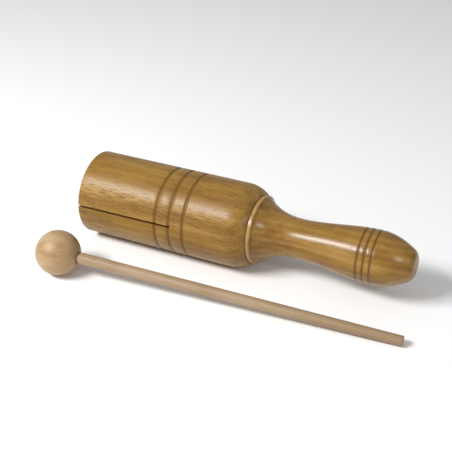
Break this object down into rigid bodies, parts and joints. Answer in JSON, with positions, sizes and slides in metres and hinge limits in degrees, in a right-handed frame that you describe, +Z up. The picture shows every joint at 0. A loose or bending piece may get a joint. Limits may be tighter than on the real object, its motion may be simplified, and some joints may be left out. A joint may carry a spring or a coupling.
{
  "type": "tubular woodblock",
  "caption": "Turned wooden tone tube with a tuning slot, a glued-in turned handle, and a loose ball-headed wooden beater lying beside it.",
  "frame": {"origin": "on the table under the middle of the whole set's box, with the block lying on its tube and the beater lying in front of it", "axes": "+X along the block's axis from the tube's mouth to the handle's round end, +Y from the beater towards the block, +Z up"},
  "size_m": [0.2066, 0.0912, 0.048],
  "materials": {
    "varnished_tube": "golden-brown hardwood with dark pores under satin-gloss varnish",
    "varnished_handle": "golden-brown hardwood under gloss varnish",
    "bare_ball": "pale smooth-sanded bare hardwood",
    "bare_stick": "pale smooth-sanded bare hardwood dowel"
  },
  "bodies": {
    "block": {"resonator_tube": "varnished_tube", "handle": "varnished_handle"},
    "beater": {"beater_head": "bare_ball", "beater_stick": "bare_stick"}
  },
  "joints": [
    {"name": "beater_lift", "type": "slide", "parent": "block", "child": "beater", "axis": [0, 0, 1], "range_m": [0, 0.08]}
  ]
}
